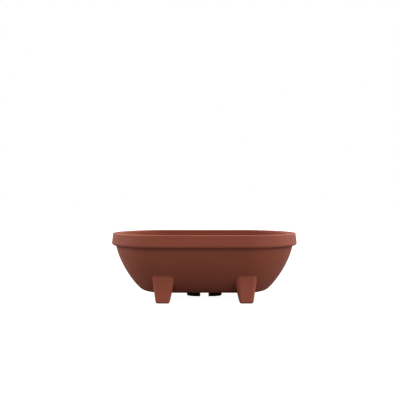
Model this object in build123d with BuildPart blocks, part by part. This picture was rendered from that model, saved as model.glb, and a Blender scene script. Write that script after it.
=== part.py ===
from build123d import *
import math
import os

# Oblong bonsai pot, in millimetres. +Z is up, X is the long direction, and the origin is on the
# surface that the pot stands on, below the middle of the drain hole.

# --- driving dimensions ---------------------------------------------------------------------
HEIGHT = 87.2  # floor to rim
HALF_LENGTH = 123.0  # centre to the rim's top outer edge, along X
HALF_WIDTH = 85.6  # centre to the rim's top outer edge, along Y
CORNER_RADIUS = 58.6  # plan radius where a long side turns into an end
END_RADIUS = 97.2  # plan radius of the bowed end itself
SKIN = 3.0  # thickness of the bowl's wall and floor

# --- rim collar -----------------------------------------------------------------------------
COLLAR_HEIGHT = 16.0
COLLAR_FLARE = 2.0  # how far the skirt's foot stands out past the rim's top edge
COLLAR_TOP_WIDTH = 11.7  # width of the rim seen from above
COLLAR_WEB = 2.4  # thickness of the collar's top
SKIRT_TOP = 2.6  # skirt thickness under the web
SKIRT_FOOT = 3.3  # skirt thickness at its lower edge
SKIRT_FOOT_ROUND = 2.9
LIP_THICKNESS = 1.9  # inner lip of the collar
LIP_HEIGHT = 11.0
LIP_FOOT_ROUND = 0.8
RIM_EDGE_ROUND = 0.9

# --- bowl -----------------------------------------------------------------------------------
BASE_Z = 11.3  # underside of the bowl's floor
NECK_INSET = 3.7  # the wall's outside, behind the skirt's foot
NECK_LEAN = 11.1  # degrees that the wall leans in below the skirt
NECK_PULL = 30.0  # how far the wall keeps that lean
BASE_INSET = 40.2  # where the curved wall meets the flat underside
BASE_PULL = 5.4  # how flat the wall runs into the underside
SEAT_CLEARANCE = 0.1  # collar skirt and lip to the flange they clasp

# --- feet -----------------------------------------------------------------------------------
# A foot's plan is given twice, at the floor and at the top of the block that it is cut from. X is
# that of the right-hand feet, and near is the side towards the pot's middle.
FOOT_LEVEL = (0.0, 46.0)
FOOT_NEAR_X = (44.8, 34.6)
FOOT_FAR_X = (62.0, 68.6)
FOOT_FACE_Y = (65.5, 66.7)  # outer face, where it passes FOOT_X
FOOT_NEAR_ROUND = (2.8, 10.0)  # the two front corners in plan
FOOT_FAR_ROUND = (3.0, 7.0)
FOOT_BACK_ROUND = 2.8
FOOT_X = 53.5
FOOT_FACE_TURN = 2.0  # degrees that the outer face turns towards the pot's end
FOOT_BACK_Y = 38.0
FOOT_SOLE_ROUND = 2.6
PEG_RADIUS = 2.5
PEG_HEIGHT = 2.0
PEG_Y = 41.8

# --- drain insert and its screen ------------------------------------------------------------
SPIGOT_SIDE = 46.7  # the spigot is square with well-rounded corners
SPIGOT_CORNER_ROUND = 14.0
SPIGOT_BOTTOM_Z = 3.7
SPIGOT_WALL = 2.6  # at its thinnest, in the middle of each side
SPIGOT_EDGE_ROUND = 0.9
SLOT_WIDTH = 10.9
SLOT_CORNER_ROUND = 0.7
DRAIN_GAP = 0.35  # all round, for a part that drops in loose
FLANGE_RADIUS = 31.0
FLANGE_THICKNESS = 2.0
FLANGE_EDGE_ROUND = 0.9
LEDGE_WIDTH = 3.0
LEDGE_THICKNESS = 1.8
SCREEN_THICKNESS = 1.8
SCREEN_SINK = 0.2  # the screen's face below the flange's
SCREEN_HOLE_RADIUS = 1.5
SCREEN_RINGS = ((7.2, 8), (11.6, 12), (16.0, 18))  # ring radius, number of holes
SCREEN_RIB_HEIGHT = 0.8
SCREEN_RIB_WIDTH = 1.0
KNOB_STEM_RADIUS = 2.6
KNOB_HEAD_RADIUS = 4.6
KNOB_HEIGHT = 7.0
KNOB_HEAD_THICKNESS = 2.4
KNOB_HEAD_FLARE = 1.2
KNOB_EDGE_ROUND = 1.2

# --- worked out -----------------------------------------------------------------------------
COLLAR_FOOT_Z = HEIGHT - COLLAR_HEIGHT
WEB_Z = HEIGHT - COLLAR_WEB  # underside of the collar's top
FLOOR_Z = BASE_Z + SKIN
SPIGOT_BORE_RADIUS = SPIGOT_SIDE / 2 - SPIGOT_WALL
SCREEN_RADIUS = SPIGOT_BORE_RADIUS - DRAIN_GAP
SCREEN_TOP_Z = FLOOR_Z + FLANGE_THICKNESS - SCREEN_SINK
LEDGE_TOP_Z = SCREEN_TOP_Z - SCREEN_THICKNESS

# Sections of the rim and wall are drawn here, looking along +X at the middle of the front side:
# first coordinate is the distance in from the rim's top outer edge, second is the height.
SECTION = Plane(origin=(0, -HALF_WIDTH, 0), x_dir=(0, 1, 0), z_dir=(1, 0, 0))

os.makedirs("parts", exist_ok=True)


def oblong(inset):
    """The pot's outline, this far inside the rim's top outer edge."""
    corner = CORNER_RADIUS - inset
    end = END_RADIUS - inset
    end_centre_x = HALF_LENGTH - END_RADIUS
    corner_centre_y = HALF_WIDTH - CORNER_RADIUS
    span = math.sqrt((END_RADIUS - CORNER_RADIUS) ** 2 - corner_centre_y**2)
    corner_centre_x = end_centre_x + span
    turn = math.degrees(math.atan2(corner_centre_y, span))
    side_y = HALF_WIDTH - inset
    with BuildLine() as outline:
        Line((0, -side_y), (corner_centre_x, -side_y))
        CenterArc((corner_centre_x, -corner_centre_y), corner, -90, 90 - turn)
        CenterArc((end_centre_x, 0), end, -turn, 2 * turn)
        CenterArc((corner_centre_x, corner_centre_y), corner, turn, 90 - turn)
        Line((corner_centre_x, side_y), (-corner_centre_x, side_y))
        CenterArc((-corner_centre_x, corner_centre_y), corner, 90, 90 - turn)
        CenterArc((-end_centre_x, 0), end, 180 - turn, 2 * turn)
        CenterArc((-corner_centre_x, -corner_centre_y), corner, 180 + turn, 90 - turn)
        Line((-corner_centre_x, -side_y), (0, -side_y))
    return outline.wire()


def wall_poles(depth):
    """Poles of the wall's curve, this deep under its outer face, from the neck to the floor."""
    lean = math.radians(NECK_LEAN)
    neck = Vector(NECK_INSET, COLLAR_FOOT_Z)
    below = neck + Vector(math.sin(lean), -math.cos(lean)) * NECK_PULL
    floor_edge = Vector(BASE_INSET, BASE_Z)
    before = floor_edge - Vector(BASE_PULL, 0)
    poles = [neck, below, before, floor_edge]
    runs = [(after - ahead).normalized() for ahead, after in zip(poles, poles[1:])]
    normals = [Vector(-run.Y, run.X) for run in runs]
    moved = [neck + Vector(depth, 0)]
    for pole, left, right in zip(poles[1:3], normals, normals[1:]):
        moved.append(pole + (left + right) * (depth / (1 + left.dot(right))))
    moved.append(floor_edge + Vector(0, depth))
    return moved


RIM_PATH = oblong(0)
FLOOR_OVERLAP = 2.0  # the swept wall runs this far onto the floor's own plate


# Outside of the bowl as a filled form, from which the feet take the shape of their seats.
with BuildPart() as bowl_form:
    outer = wall_poles(0)
    with BuildSketch(SECTION):
        with BuildLine():
            neck_top = (NECK_INSET, COLLAR_FOOT_Z)
            floor_edge = (BASE_INSET + FLOOR_OVERLAP, BASE_Z)
            Bezier(*outer)
            Line(outer[3], floor_edge)
            Line(floor_edge, (floor_edge[0], COLLAR_FOOT_Z))
            Line((floor_edge[0], COLLAR_FOOT_Z), neck_top)
        make_face()
    sweep(path=RIM_PATH)
    with BuildSketch(Plane.XY.offset(BASE_Z)):
        make_face(oblong(BASE_INSET).edges())
    extrude(amount=COLLAR_FOOT_Z - BASE_Z)


# Bowl: thin wall and floor, an upright neck behind the skirt, and a flange that the collar caps.
with BuildPart() as pot_shell:
    outer = wall_poles(0)
    inner = wall_poles(SKIN)
    flange_out = SKIRT_TOP + SEAT_CLEARANCE
    flange_in = COLLAR_TOP_WIDTH - LIP_THICKNESS - SEAT_CLEARANCE
    flange_z = WEB_Z - COLLAR_WEB
    neck_in = NECK_INSET + SKIN
    floor_in = BASE_INSET + FLOOR_OVERLAP
    with BuildSketch(SECTION):
        with BuildLine():
            Bezier(*outer)
            Polyline(outer[3], (floor_in, BASE_Z), (floor_in, FLOOR_Z), inner[3])
            Bezier(*reversed(inner))
            Polyline(
                inner[0],
                (neck_in, flange_z),
                (flange_in, flange_z),
                (flange_in, WEB_Z),
                (flange_out, WEB_Z),
                (flange_out, flange_z),
                (NECK_INSET, flange_z),
                outer[0],
            )
        make_face()
    sweep(path=RIM_PATH)
    with BuildSketch(Plane.XY.offset(BASE_Z)):
        make_face(oblong(BASE_INSET).edges())
    extrude(amount=SKIN)
    with BuildSketch(Plane.XY.offset(BASE_Z)):
        hole_side = SPIGOT_SIDE + 2 * DRAIN_GAP
        RectangleRounded(hole_side, hole_side, SPIGOT_CORNER_ROUND + DRAIN_GAP)
    extrude(amount=SKIN, mode=Mode.SUBTRACT)
    with BuildSketch(Plane.XY.offset(BASE_Z)):
        with GridLocations(2 * FOOT_X, 2 * PEG_Y, 2, 2):
            Circle(PEG_RADIUS)
    extrude(amount=PEG_HEIGHT, mode=Mode.SUBTRACT)


# Rim collar: a channel pressed down over the flange. Its tall skirt is the band seen from
# outside, and its short lip lines the mouth.
with BuildPart() as rim_collar:
    lip_z = HEIGHT - LIP_HEIGHT
    lip_out = COLLAR_TOP_WIDTH - LIP_THICKNESS
    with BuildSketch(SECTION) as collar_section:
        with BuildLine():
            Polyline(
                (0, HEIGHT),
                (-COLLAR_FLARE, COLLAR_FOOT_Z),
                (SKIRT_FOOT - COLLAR_FLARE, COLLAR_FOOT_Z),
                (SKIRT_TOP, WEB_Z),
                (lip_out, WEB_Z),
                (lip_out, lip_z),
                (COLLAR_TOP_WIDTH, lip_z),
                (COLLAR_TOP_WIDTH, HEIGHT),
                close=True,
            )
        make_face()
        skirt_foot = collar_section.vertices().group_by(Axis.Y)[0].sort_by(Axis.X)[0]
        fillet(skirt_foot, SKIRT_FOOT_ROUND)
        rim_edges = collar_section.vertices().group_by(Axis.Y)[-1]
        fillet(rim_edges, RIM_EDGE_ROUND)
        lip_foot = collar_section.vertices().group_by(Axis.X)[-1].sort_by(Axis.Y)[0]
        fillet(lip_foot, LIP_FOOT_ROUND)
    sweep(path=RIM_PATH)


# A foot is a tapered block with rounded corners. The bowl's curve cuts off its top and back, so
# its outer face runs straight into the wall. The front right one is drawn, and the others are its
# mirror images.
with BuildPart() as foot:
    plans = zip(FOOT_LEVEL, FOOT_NEAR_X, FOOT_FAR_X, FOOT_FACE_Y, FOOT_NEAR_ROUND, FOOT_FAR_ROUND)
    for level, near_x, far_x, face_y, near_round, far_round in plans:
        turn = math.tan(math.radians(FOOT_FACE_TURN))
        near_y = face_y + (FOOT_X - near_x) * turn
        far_y = face_y + (FOOT_X - far_x) * turn
        with BuildSketch(Plane.XY.offset(level)):
            with BuildLine():
                FilletPolyline(
                    (near_x, -FOOT_BACK_Y),
                    (near_x, -near_y),
                    (far_x, -far_y),
                    (far_x, -FOOT_BACK_Y),
                    radius=(FOOT_BACK_ROUND, near_round, far_round, FOOT_BACK_ROUND),
                    close=True,
                )
            make_face()
    loft()
    fillet(foot.faces().sort_by(Axis.Z)[0].edges(), FOOT_SOLE_ROUND)
    add(bowl_form.part, mode=Mode.SUBTRACT)
    with BuildSketch(Plane.XY.offset(BASE_Z)):
        with Locations((FOOT_X, -PEG_Y)):
            Circle(PEG_RADIUS)
    extrude(amount=PEG_HEIGHT)

FOOT_SIDES = {
    "foot_front_right": (),
    "foot_front_left": (Plane.YZ,),
    "foot_rear_right": (Plane.XZ,),
    "foot_rear_left": (Plane.XZ, Plane.YZ),
}


def mirrored_foot(planes):
    """The front right foot carried to another corner by mirroring."""
    copy = foot.part
    for plane in planes:
        copy = copy.mirror(plane)
    return copy


# Drain insert: a round flange that lies on the floor, a squarish spigot down through the drain
# hole, cut across from front to back into two legs, and a ledge inside that carries the screen.
with BuildPart() as drain_insert:
    with BuildSketch(Plane.XY.offset(SPIGOT_BOTTOM_Z)):
        RectangleRounded(SPIGOT_SIDE, SPIGOT_SIDE, SPIGOT_CORNER_ROUND)
        Circle(SPIGOT_BORE_RADIUS, mode=Mode.SUBTRACT)
    extrude(amount=FLOOR_Z + FLANGE_THICKNESS - SPIGOT_BOTTOM_Z)
    with BuildSketch(Plane.XY.offset(FLOOR_Z)):
        Circle(FLANGE_RADIUS)
        Circle(SPIGOT_BORE_RADIUS, mode=Mode.SUBTRACT)
    extrude(amount=FLANGE_THICKNESS)
    with BuildSketch(Plane.XY.offset(LEDGE_TOP_Z)):
        Circle(SPIGOT_BORE_RADIUS)
        Circle(SPIGOT_BORE_RADIUS - LEDGE_WIDTH, mode=Mode.SUBTRACT)
    extrude(amount=-LEDGE_THICKNESS)
    flange_top = drain_insert.faces().sort_by(Axis.Z)[-1]
    fillet(flange_top.outer_wire().edges(), FLANGE_EDGE_ROUND)
    spigot_foot = drain_insert.faces().sort_by(Axis.Z)[0]
    fillet(spigot_foot.outer_wire().edges(), SPIGOT_EDGE_ROUND)
    with BuildSketch(Plane.XZ.offset(-SPIGOT_SIDE)) as slot:
        slot_height = BASE_Z - SPIGOT_BOTTOM_Z
        with Locations((0, SPIGOT_BOTTOM_Z)):
            Rectangle(SLOT_WIDTH, 2 * slot_height)
        fillet(slot.vertices().group_by(Axis.Y)[-1], SLOT_CORNER_ROUND)
    extrude(amount=2 * SPIGOT_SIDE, mode=Mode.SUBTRACT)


# Drain screen: a perforated disc with raised rings between its rows of holes, and a knob in the
# middle to lift it by.
with BuildPart() as drain_screen:
    with BuildSketch(Plane.XY.offset(LEDGE_TOP_Z)):
        Circle(SCREEN_RADIUS)
        for ring_radius, hole_count in SCREEN_RINGS:
            with PolarLocations(ring_radius, hole_count):
                Circle(SCREEN_HOLE_RADIUS, mode=Mode.SUBTRACT)
    extrude(amount=SCREEN_THICKNESS)
    with BuildSketch(Plane.XY.offset(SCREEN_TOP_Z)):
        for (inner_ring, _), (outer_ring, _) in zip(SCREEN_RINGS, SCREEN_RINGS[1:]):
            rib_radius = (inner_ring + outer_ring) / 2
            Circle(rib_radius + SCREEN_RIB_WIDTH / 2)
            Circle(rib_radius - SCREEN_RIB_WIDTH / 2, mode=Mode.SUBTRACT)
    extrude(amount=SCREEN_RIB_HEIGHT)
    with BuildSketch(Plane.XZ) as knob_section:
        with BuildLine():
            knob_top = SCREEN_TOP_Z + KNOB_HEIGHT
            head_z = knob_top - KNOB_HEAD_THICKNESS
            Polyline(
                (0, LEDGE_TOP_Z),
                (KNOB_STEM_RADIUS, LEDGE_TOP_Z),
                (KNOB_STEM_RADIUS, head_z - KNOB_HEAD_FLARE),
                (KNOB_HEAD_RADIUS, head_z),
                (KNOB_HEAD_RADIUS, knob_top),
                (0, knob_top),
                close=True,
            )
        make_face()
        knob_edge = knob_section.vertices().group_by(Axis.Y)[-1].sort_by(Axis.X)[-1]
        fillet(knob_edge, KNOB_EDGE_ROUND)
    revolve(axis=Axis.Z)


pieces = {
    "pot_shell": pot_shell.part,
    "rim_collar": rim_collar.part,
    "drain_insert": drain_insert.part,
    "drain_screen": drain_screen.part,
}
for name, planes in FOOT_SIDES.items():
    pieces[name] = mirrored_foot(planes)

for name, piece in pieces.items():
    piece.label = name
    export_step(piece, f"parts/{name}.step")
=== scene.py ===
import math

import bmesh
import bpy
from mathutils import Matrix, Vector


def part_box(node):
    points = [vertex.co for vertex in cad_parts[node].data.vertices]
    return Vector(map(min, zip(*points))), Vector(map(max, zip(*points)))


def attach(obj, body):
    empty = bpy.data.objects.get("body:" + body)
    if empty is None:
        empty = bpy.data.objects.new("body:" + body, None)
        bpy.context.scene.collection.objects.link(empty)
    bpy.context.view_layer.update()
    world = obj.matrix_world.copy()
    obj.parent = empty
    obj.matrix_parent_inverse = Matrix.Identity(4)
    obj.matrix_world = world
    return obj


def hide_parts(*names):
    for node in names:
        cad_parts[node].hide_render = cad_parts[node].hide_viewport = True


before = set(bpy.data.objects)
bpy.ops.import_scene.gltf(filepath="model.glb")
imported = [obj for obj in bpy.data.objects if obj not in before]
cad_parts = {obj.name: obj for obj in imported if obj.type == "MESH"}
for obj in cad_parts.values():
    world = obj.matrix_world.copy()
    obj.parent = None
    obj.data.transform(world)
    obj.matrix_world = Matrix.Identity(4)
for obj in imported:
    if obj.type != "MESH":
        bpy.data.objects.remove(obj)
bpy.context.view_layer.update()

MM = 0.001

# --- the pot's own sizes, in metres, as the CAD model has them -------------------------------
# An inset is a distance in from the rim's top outer edge.
RIM_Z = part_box("rim_collar")[1].z
SKIRT_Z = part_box("rim_collar")[0].z
WEB_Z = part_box("pot_shell")[1].z  # underside of the collar's top, on which the flange bears
BASE_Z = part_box("pot_shell")[0].z
FOOT_TOP_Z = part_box("foot_front_left")[1].z

HALF_LENGTH = 123.0 * MM
HALF_WIDTH = 85.6 * MM
CORNER_RADIUS = 58.6 * MM
END_RADIUS = 97.2 * MM

FLARE = 2.0 * MM  # how far the skirt's foot stands out past the rim's top edge
SKIRT_TOP = 2.6 * MM  # skirt thickness under the web
SKIRT_FOOT = 3.3 * MM  # skirt thickness at its lower edge
SKIRT_FOOT_ROUND = 2.9 * MM
LIP_INSET = 11.7 * MM
LIP_THICKNESS = 1.9 * MM
LIP_HEIGHT = 11.0 * MM
LIP_FOOT_ROUND = 0.8 * MM
RIM_EDGE_ROUND = 0.9 * MM
CHANNEL_ROUND = 0.3 * MM
INNER_FOOT_ROUND = 0.25 * MM

SKIN = 3.0 * MM
NECK_INSET = 3.7 * MM
NECK_LEAN = 11.1  # degrees that the wall leans in below the skirt
NECK_PULL = 30.0 * MM  # how far the wall keeps that lean
BASE_INSET = 40.2 * MM  # where the curved wall meets the flat underside
BASE_PULL = 5.4 * MM  # how flat the wall runs into the underside
FLANGE_OUT = 2.7 * MM
FLANGE_IN = 9.7 * MM
FLANGE_THICKNESS = 2.4 * MM
HOLE_SIDE = 47.4 * MM
HOLE_CORNER = 14.35 * MM
HOLE_EDGE_ROUND = 0.4 * MM
FLOOR_INSETS = (44.0 * MM, 52.0 * MM)  # rings on the flat floor that keep its shading even

# --- how finely the curves are divided -------------------------------------------------------
CORNER_STEPS = 40
END_STEPS = 48
SIDE_STEPS = 24
WALL_STEPS = 40
FLOOR_STEPS = 5
ROUND_STEPS = 7
SHARP_ANGLE = 50  # degrees between faces, above which their edge isn't shaded smooth

# --- finishes --------------------------------------------------------------------------------
BROWN_DEEP = (0.272, 0.072, 0.042)
BROWN_LIGHT = (0.288, 0.076, 0.045)
BROWN_WORN = (0.40, 0.150, 0.100)
BROWN_GLOSS = 0.15
BROWN_WEAR = 0.35  # how much of the worn colour shows where the wear is strongest
FOOT_SOLE_PAINTED_LIGHT = 1.44  # painted light: how much lighter the feet are painted than the bowl at their soles, for light thrown up from the floor
FOOT_TOP_PAINTED_LIGHT = 1.10  # and at their tops
SOLE_WEAR_DEPTH = 0.8 * MM
BLACK_DEEP = (0.045, 0.029, 0.021)
BLACK_LIGHT = (0.055, 0.035, 0.026)
BLACK_WORN = (0.095, 0.070, 0.056)
BLACK_GLOSS = 0.06

# --- camera, floor and light -----------------------------------------------------------------
LENS = 63.2  # millimetres, on a 36 mm sensor
SENSOR = 36.0
CAMERA_X = -5.8 * MM
CAMERA_Y = -953.0 * MM
CAMERA_RISE = 44.1 * MM  # above the rim
NEAR_CLIP = 10.0 * MM
FLOOR_REACH = 4.0
FLOOR_GREY = (0.245, 0.245, 0.245)  # what the floor throws back on the pot
FLOOR_GLOW = 0.97  # what brings it up to white for the camera
HORIZON_FADE = 10.0
# Bright patches of the surround: azimuth of each (0 is the front, 90 the right), its height in
# degrees, its strength, and its tightness as a power of the cosine. They fade out towards the
# horizon, and none reaches below it.
PATCHES = [
    (90, 50, 3.0, 6),
    (45, 28, 6.0, 30),
    (135, 28, 10.0, 30),
    (225, 28, 10.0, 30),
    (270, 28, 9.0, 30),
    (315, 28, 2.0, 30),
]


# --- outline ---------------------------------------------------------------------------------
def arc(centre, radius, start, turn, steps):
    """Points of an arc, each with the direction in towards its centre."""
    found = []
    for i in range(steps):
        angle = start + turn * i / steps
        way = (math.cos(angle), math.sin(angle))
        found.append((centre[0] + radius * way[0], centre[1] + radius * way[1], -way[0], -way[1]))
    return found


def side(start_x, end_x, y, steps):
    """Points of a straight side at this y, each with the direction inwards."""
    inward = -math.copysign(1, y)
    return [(start_x + (end_x - start_x) * i / steps, y, 0.0, inward) for i in range(steps)]


def outline():
    """The rim's top outer edge, once round from the middle of the front."""
    end_x = HALF_LENGTH - END_RADIUS
    corner_y = HALF_WIDTH - CORNER_RADIUS
    span = math.sqrt((END_RADIUS - CORNER_RADIUS) ** 2 - corner_y**2)
    corner_x = end_x + span
    turn = math.atan2(corner_y, span)
    quarter = math.pi / 2
    found = side(0, corner_x, -HALF_WIDTH, SIDE_STEPS)
    found += arc((corner_x, -corner_y), CORNER_RADIUS, -quarter, quarter - turn, CORNER_STEPS)
    found += arc((end_x, 0), END_RADIUS, -turn, 2 * turn, END_STEPS)
    found += arc((corner_x, corner_y), CORNER_RADIUS, turn, quarter - turn, CORNER_STEPS)
    found += side(corner_x, -corner_x, HALF_WIDTH, 2 * SIDE_STEPS)
    found += arc((-corner_x, corner_y), CORNER_RADIUS, quarter, quarter - turn, CORNER_STEPS)
    found += arc((-end_x, 0), END_RADIUS, math.pi - turn, 2 * turn, END_STEPS)
    found += arc((-corner_x, -corner_y), CORNER_RADIUS, math.pi + turn, quarter - turn, CORNER_STEPS)
    found += side(-corner_x, 0, -HALF_WIDTH, SIDE_STEPS)
    return found


OUTLINE = outline()


def ring(inset, z):
    """The outline moved in by inset, at this height."""
    return [(x + nx * inset, y + ny * inset, z) for x, y, nx, ny in OUTLINE]


def hole_ring(grow, z):
    """The drain hole's rounded square, grown by this much, with its points in line with the
    outline's."""
    flat = HOLE_SIDE / 2 - HOLE_CORNER
    corner = HOLE_CORNER + grow
    found = []
    for x, y, _, _ in OUTLINE:
        distance = math.hypot(x, y)
        a, b = abs(x) / distance, abs(y) / distance
        reach = (flat + corner) / max(a, b)
        if reach * min(a, b) > flat:
            along = flat * (a + b)
            reach = along + math.sqrt(along**2 - 2 * flat**2 + corner**2)
        found.append((reach * x / distance, reach * y / distance, z))
    return found


def between(ring_a, ring_b, steps):
    """Rings part of the way from one ring to another."""
    found = []
    for i in range(1, steps):
        t = i / steps
        found.append([tuple(p + (q - p) * t for p, q in zip(a, b)) for a, b in zip(ring_a, ring_b)])
    return found


# --- sections --------------------------------------------------------------------------------
def wall_poles(depth):
    """Poles of the wall's curve as (inset, z), this deep under its outer face, from the neck to
    the floor."""
    lean = math.radians(NECK_LEAN)
    neck = Vector((NECK_INSET, SKIRT_Z))
    below = neck + Vector((math.sin(lean), -math.cos(lean))) * NECK_PULL
    floor_edge = Vector((BASE_INSET, BASE_Z))
    before = floor_edge - Vector((BASE_PULL, 0))
    poles = [neck, below, before, floor_edge]
    runs = [(after - ahead).normalized() for ahead, after in zip(poles, poles[1:])]
    normals = [Vector((-run.y, run.x)) for run in runs]
    moved = [neck + Vector((depth, 0))]
    for pole, left, right in zip(poles[1:3], normals, normals[1:]):
        moved.append(pole + (left + right) * (depth / (1 + left.dot(right))))
    moved.append(floor_edge + Vector((0, depth)))
    return moved


def bezier(poles, steps):
    """Points along a cubic curve, both ends included."""
    found = []
    for i in range(steps + 1):
        t = i / steps
        weights = ((1 - t) ** 3, 3 * t * (1 - t) ** 2, 3 * t * t * (1 - t), t**3)
        found.append(tuple(sum(w * p[k] for w, p in zip(weights, poles)) for k in (0, 1)))
    return found


def rounded(corners):
    """A closed section from (inset, z, radius) corners: each corner becomes an arc, with a point
    just off each end of it so that the flats stay flat when shaded."""
    found = []
    count = len(corners)
    for i, (x, z, radius) in enumerate(corners):
        here = Vector((x, z))
        before = (Vector(corners[i - 1][:2]) - here).normalized()
        after = (Vector(corners[(i + 1) % count][:2]) - here).normalized()
        half = before.angle(after) / 2
        reach = radius / math.tan(half)
        start = here + before * reach
        end = here + after * reach
        middle = here + (before + after).normalized() * (radius / math.sin(half))
        a = start - middle
        b = end - middle
        swing = a.angle(b)
        support = radius / 4
        found.append(tuple(start + before * support))
        for k in range(ROUND_STEPS + 1):
            t = k / ROUND_STEPS
            part = (a * math.sin((1 - t) * swing) + b * math.sin(t * swing)) / math.sin(swing)
            found.append(tuple(middle + part))
        found.append(tuple(end + after * support))
    return found


def ring_mesh(name, rings):
    """A closed skin of quads through rings that all have the same number of points, the last ring
    joined to the first."""
    count = len(rings[0])
    verts = [point for one in rings for point in one]
    faces = []
    for i in range(len(rings)):
        j = (i + 1) % len(rings)
        for k in range(count):
            m = (k + 1) % count
            faces.append((i * count + k, i * count + m, j * count + m, j * count + k))
    mesh = bpy.data.meshes.new(name)
    mesh.from_pydata(verts, [], faces)
    mesh.validate()
    return finish_mesh(name, mesh)


def finish_mesh(name, mesh):
    """Outward normals, smooth shading with sharp edges kept, and an object in the scene."""
    work = bmesh.new()
    work.from_mesh(mesh)
    bmesh.ops.recalc_face_normals(work, faces=work.faces)
    for face in work.faces:
        face.smooth = True
    work.to_mesh(mesh)
    work.free()
    mesh.set_sharp_from_angle(angle=math.radians(SHARP_ANGLE))
    piece = bpy.data.objects.new(name, mesh)
    bpy.context.scene.collection.objects.link(piece)
    return piece


# --- pieces ----------------------------------------------------------------------------------
def make_collar():
    """The rim collar: a channel with a tall flared skirt and a short inner lip."""
    lip_out = LIP_INSET - LIP_THICKNESS
    lip_z = RIM_Z - LIP_HEIGHT
    corners = [
        (0, RIM_Z, RIM_EDGE_ROUND),
        (-FLARE, SKIRT_Z, SKIRT_FOOT_ROUND),
        (SKIRT_FOOT - FLARE, SKIRT_Z, INNER_FOOT_ROUND),
        (SKIRT_TOP, WEB_Z, CHANNEL_ROUND),
        (lip_out, WEB_Z, CHANNEL_ROUND),
        (lip_out, lip_z, INNER_FOOT_ROUND),
        (LIP_INSET, lip_z, LIP_FOOT_ROUND),
        (LIP_INSET, RIM_Z, RIM_EDGE_ROUND),
    ]
    piece = ring_mesh("collar", [ring(inset, z) for inset, z in rounded(corners)])
    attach(piece, "pot")
    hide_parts("rim_collar")
    return piece


def make_bowl():
    """The bowl: wall and floor in one skin, a flange round its top, and the drain hole."""
    outer = bezier(wall_poles(0), WALL_STEPS)
    inner = bezier(wall_poles(SKIN), WALL_STEPS)
    neck_out, neck_in = outer[0][0], inner[0][0]
    floor_z = BASE_Z + SKIN
    flange_z = WEB_Z - FLANGE_THICKNESS
    edge = HOLE_EDGE_ROUND
    hole_edge = [(2 * edge, 0), (edge, 0), (0.3 * edge, 0.3 * edge), (0, edge)]
    flange = [
        (neck_in, flange_z),
        (FLANGE_IN, flange_z),
        (FLANGE_IN, WEB_Z),
        (FLANGE_OUT, WEB_Z),
        (FLANGE_OUT, flange_z),
        (neck_out, flange_z),
    ]
    under = [ring(inset, z) for inset, z in outer]
    under += [ring(inset, BASE_Z) for inset in FLOOR_INSETS]
    hole = [hole_ring(grow, BASE_Z + rise) for grow, rise in hole_edge]
    hole += [hole_ring(grow, floor_z - drop) for grow, drop in reversed(hole_edge)]
    over = [ring(inset, floor_z) for inset in reversed(FLOOR_INSETS)]
    over += [ring(inset, z) for inset, z in reversed(inner)]
    over += [ring(inset, z) for inset, z in flange]
    rings = under + between(under[-1], hole[0], FLOOR_STEPS)
    rings += hole + between(hole[-1], over[0], FLOOR_STEPS) + over
    piece = ring_mesh("bowl", rings)
    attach(piece, "pot")
    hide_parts("pot_shell")
    return piece


# --- materials -------------------------------------------------------------------------------
def arithmetic(tree, kind, first, second):
    """A Math node on two sources, or on a source and a number."""
    node = tree.nodes.new("ShaderNodeMath")
    node.operation = kind
    for socket, value in zip(node.inputs, (first, second)):
        if isinstance(value, (int, float)):
            socket.default_value = value
        else:
            tree.links.new(value, socket)
    return node.outputs["Value"]


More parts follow.
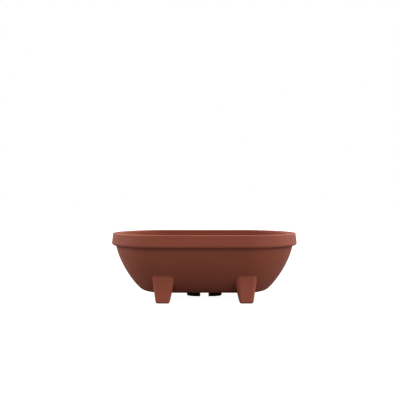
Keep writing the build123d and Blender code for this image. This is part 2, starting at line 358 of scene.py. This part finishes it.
class Recipe:
    """A material with a Principled shader, and short ways to add and link its nodes."""

    def __init__(self, name, gloss, colour=(0.5, 0.5, 0.5)):
        self.material = bpy.data.materials.new(name)
        self.material.use_nodes = True
        self.tree = self.material.node_tree
        self.shader = self.tree.nodes["Principled BSDF"]
        self.shader.inputs["Specular IOR Level"].default_value = gloss
        self.shader.inputs["Base Color"].default_value = (*colour, 1)
        self.place = self.tree.nodes.new("ShaderNodeTexCoord").outputs["Object"]

    def link(self, output, socket):
        """Link a source to a socket, or to the shader's own input of that name."""
        if isinstance(socket, str):
            socket = self.shader.inputs[socket]
        self.tree.links.new(output, socket)

    def noise(self, scale, detail):
        """Noise at this many cells per metre."""
        node = self.tree.nodes.new("ShaderNodeTexNoise")
        node.inputs["Scale"].default_value = scale
        node.inputs["Detail"].default_value = detail
        self.link(self.place, node.inputs["Vector"])
        return node.outputs["Fac"]

    def ramp(self, source, *stops):
        """Colour ramp through (position, colour) stops."""
        node = self.tree.nodes.new("ShaderNodeValToRGB")
        for element, (position, colour) in zip(node.color_ramp.elements, stops):
            element.position = position
            element.color = (*colour, 1)
        self.link(source, node.inputs["Fac"])
        return node.outputs["Color"]

    def span(self, source, low, high, new_low=0.0, new_high=1.0):
        """Source from low..high mapped to new_low..new_high, and held at the ends."""
        node = self.tree.nodes.new("ShaderNodeMapRange")
        for name, value in zip(("From Min", "From Max", "To Min", "To Max"), (low, high, new_low, new_high)):
            node.inputs[name].default_value = value
        self.link(source, node.inputs["Value"])
        return node.outputs["Result"]

    def times(self, first, second):
        """Product of two sources."""
        return arithmetic(self.tree, "MULTIPLY", first, second)

    def larger(self, first, second):
        """The larger of two sources."""
        return arithmetic(self.tree, "MAXIMUM", first, second)

    def blend(self, kind, factor, first, second):
        """Colour mix of two sources, or of a source and a fixed colour."""
        node = self.tree.nodes.new("ShaderNodeMix")
        node.data_type = "RGBA"
        node.blend_type = kind
        if isinstance(factor, (int, float)):
            node.inputs[0].default_value = factor
        else:
            self.link(factor, node.inputs[0])
        for socket, value in ((node.inputs[6], first), (node.inputs[7], second)):
            if isinstance(value, tuple):
                socket.default_value = (*value, 1)
            else:
                self.link(value, socket)
        return node.outputs[2]

    def bump(self, *layers):
        """Bumps laid over one another, each (height source, strength, depth in metres)."""
        normal = None
        for height, strength, depth in layers:
            node = self.tree.nodes.new("ShaderNodeBump")
            node.inputs["Strength"].default_value = strength
            node.inputs["Distance"].default_value = depth
            self.link(height, node.inputs["Height"])
            if normal is not None:
                self.link(normal, node.inputs["Normal"])
            normal = node.outputs["Normal"]
        self.link(normal, "Normal")

    def height(self):
        """Height above the floor, in metres."""
        node = self.tree.nodes.new("ShaderNodeSeparateXYZ")
        self.link(self.place, node.inputs["Vector"])
        return node.outputs["Z"]

    def edges(self, low, high):
        """1 on outward edges, 0 on flats."""
        node = self.tree.nodes.new("ShaderNodeNewGeometry")
        return self.span(node.outputs["Pointiness"], low, high)


def brown_plastic(name, sole_painted_light, top_painted_light):
    """Matte terracotta-brown plastic: slow shifts of tone, an eroded mould texture, edges and soles
    that are slightly paler where they rub, and painted light: the colour is scaled from the floor up,
    standing in for light thrown up from the floor."""
    recipe = Recipe(name, BROWN_GLOSS)
    drift = recipe.noise(scale=11.0, detail=3.0)
    grain = recipe.noise(scale=1500.0, detail=2.0)
    pores = recipe.noise(scale=4200.0, detail=1.0)
    patchy = recipe.noise(scale=160.0, detail=4.0)
    height = recipe.height()
    tone = recipe.ramp(drift, (0.32, BROWN_DEEP), (0.68, BROWN_LIGHT))
    # painted light: the colour is made lighter towards the floor, standing in for light thrown up from the
    # floor
    painted_floor_light = recipe.span(height, 0.0, FOOT_TOP_Z, sole_painted_light, top_painted_light)
    shade = recipe.times(recipe.span(grain, 0.35, 0.65, 0.93, 1.07), painted_floor_light)
    mottled_and_painted_light = recipe.blend("MULTIPLY", 1.0, tone, shade)
    rub = recipe.span(patchy, 0.48, 0.72)
    worn_edge = recipe.times(recipe.edges(0.53, 0.60), rub)
    worn_sole = recipe.times(recipe.span(height, 0.0, SOLE_WEAR_DEPTH, 1.0, 0.0), rub)
    wear = recipe.times(recipe.larger(worn_edge, worn_sole), BROWN_WEAR)
    recipe.link(recipe.blend("MIX", wear, mottled_and_painted_light, BROWN_WORN), "Base Color")
    recipe.link(recipe.span(grain, 0.3, 0.7, 0.50, 0.60), "Roughness")
    recipe.bump((grain, 0.22, 0.10 * MM), (pores, 0.18, 0.04 * MM))
    return recipe.material


def black_plastic():
    """Near-black moulded plastic with a fine texture and paler edges."""
    recipe = Recipe("black_plastic_matte", BLACK_GLOSS)
    drift = recipe.noise(scale=60.0, detail=3.0)
    grain = recipe.noise(scale=2200.0, detail=2.0)
    tone = recipe.ramp(drift, (0.3, BLACK_DEEP), (0.7, BLACK_LIGHT))
    wear = recipe.times(recipe.edges(0.52, 0.62), recipe.span(grain, 0.35, 0.7, 0.0, 0.5))
    recipe.link(recipe.blend("MIX", wear, tone, BLACK_WORN), "Base Color")
    recipe.link(recipe.span(grain, 0.3, 0.7, 0.58, 0.70), "Roughness")
    recipe.bump((grain, 0.2, 0.08 * MM))
    return recipe.material


def paint(piece, material):
    """Give the whole piece this one material."""
    piece.data.materials.clear()
    piece.data.materials.append(material)


# --- stage -----------------------------------------------------------------------------------
def make_camera():
    """Level camera, a little above the rim and a little left of the pot's middle."""
    data = bpy.data.cameras.new("camera")
    data.sensor_width = SENSOR
    data.lens = LENS
    data.clip_start = NEAR_CLIP
    camera = bpy.data.objects.new("camera", data)
    camera.location = (CAMERA_X, CAMERA_Y, RIM_Z + CAMERA_RISE)
    camera.rotation_euler = (math.radians(90), 0, 0)
    bpy.context.scene.collection.objects.link(camera)
    bpy.context.scene.camera = camera


def make_surround():
    """Studio light from soft patches all round. The backdrop itself is plain white."""
    world = bpy.data.worlds.new("surround")
    world.use_nodes = True
    bpy.context.scene.world = world
    tree = world.node_tree
    way = tree.nodes.new("ShaderNodeTexCoord").outputs["Generated"]
    total = 0.0
    for azimuth, height, strength, tightness in PATCHES:
        turn, lift = math.radians(azimuth), math.radians(height)
        facing = tree.nodes.new("ShaderNodeVectorMath")
        facing.operation = "DOT_PRODUCT"
        facing.inputs[1].default_value = (
            math.sin(turn) * math.cos(lift),
            -math.cos(turn) * math.cos(lift),
            math.sin(lift),
        )
        tree.links.new(way, facing.inputs[0])
        patch = arithmetic(tree, "MAXIMUM", facing.outputs["Value"], 0.0)
        patch = arithmetic(tree, "POWER", patch, tightness)
        patch = arithmetic(tree, "MULTIPLY", patch, strength)
        total = arithmetic(tree, "ADD", patch, total)
    axes = tree.nodes.new("ShaderNodeSeparateXYZ")
    tree.links.new(way, axes.inputs[0])
    above = arithmetic(tree, "MULTIPLY", axes.outputs["Z"], HORIZON_FADE)
    above.node.use_clamp = True
    total = arithmetic(tree, "MULTIPLY", total, above)
    seen = tree.nodes.new("ShaderNodeMix")
    tree.links.new(tree.nodes.new("ShaderNodeLightPath").outputs["Is Camera Ray"], seen.inputs[0])
    tree.links.new(total, seen.inputs[2])
    seen.inputs[3].default_value = 1.0
    background = tree.nodes["Background"]
    background.inputs["Color"].default_value = (1, 1, 1, 1)
    tree.links.new(seen.outputs[0], background.inputs["Strength"])


def make_floor():
    """A plain table. It throws a little light back up, which the pot shades under itself, and the
    camera sees it as white with a faint shadow."""
    corners = [(x * FLOOR_REACH, y * FLOOR_REACH, 0) for x, y in ((-1, -1), (1, -1), (1, 1), (-1, 1))]
    mesh = bpy.data.meshes.new("floor")
    mesh.from_pydata(corners, [], [(0, 1, 2, 3)])
    floor = bpy.data.objects.new("floor", mesh)
    bpy.context.scene.collection.objects.link(floor)
    recipe = Recipe("floor_white", 0.0, FLOOR_GREY)
    recipe.shader.inputs["Roughness"].default_value = 1.0
    recipe.shader.inputs["Emission Color"].default_value = (1, 1, 1, 1)
    seen = recipe.tree.nodes.new("ShaderNodeLightPath").outputs["Is Camera Ray"]
    recipe.link(recipe.times(seen, FLOOR_GLOW), "Emission Strength")
    mesh.materials.append(recipe.material)


make_camera()
brown = brown_plastic("brown_plastic_matte", 1.0, 1.0)
# painted light: the feet get a copy of the brown painted lighter, most at the soles, for light from the
# floor
foot_brown_painted_light = brown_plastic("brown_plastic_feet_painted_light", FOOT_SOLE_PAINTED_LIGHT, FOOT_TOP_PAINTED_LIGHT)
black = black_plastic()
bowl = make_bowl()
collar = make_collar()
for piece in (bowl, collar):
    paint(piece, brown)
for node in ("foot_front_left", "foot_front_right", "foot_rear_left", "foot_rear_right"):
    paint(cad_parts[node], foot_brown_painted_light)
for node in ("drain_insert", "drain_screen"):
    paint(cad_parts[node], black)
make_floor()
make_surround()
bpy.context.scene.view_settings.view_transform = "Standard"
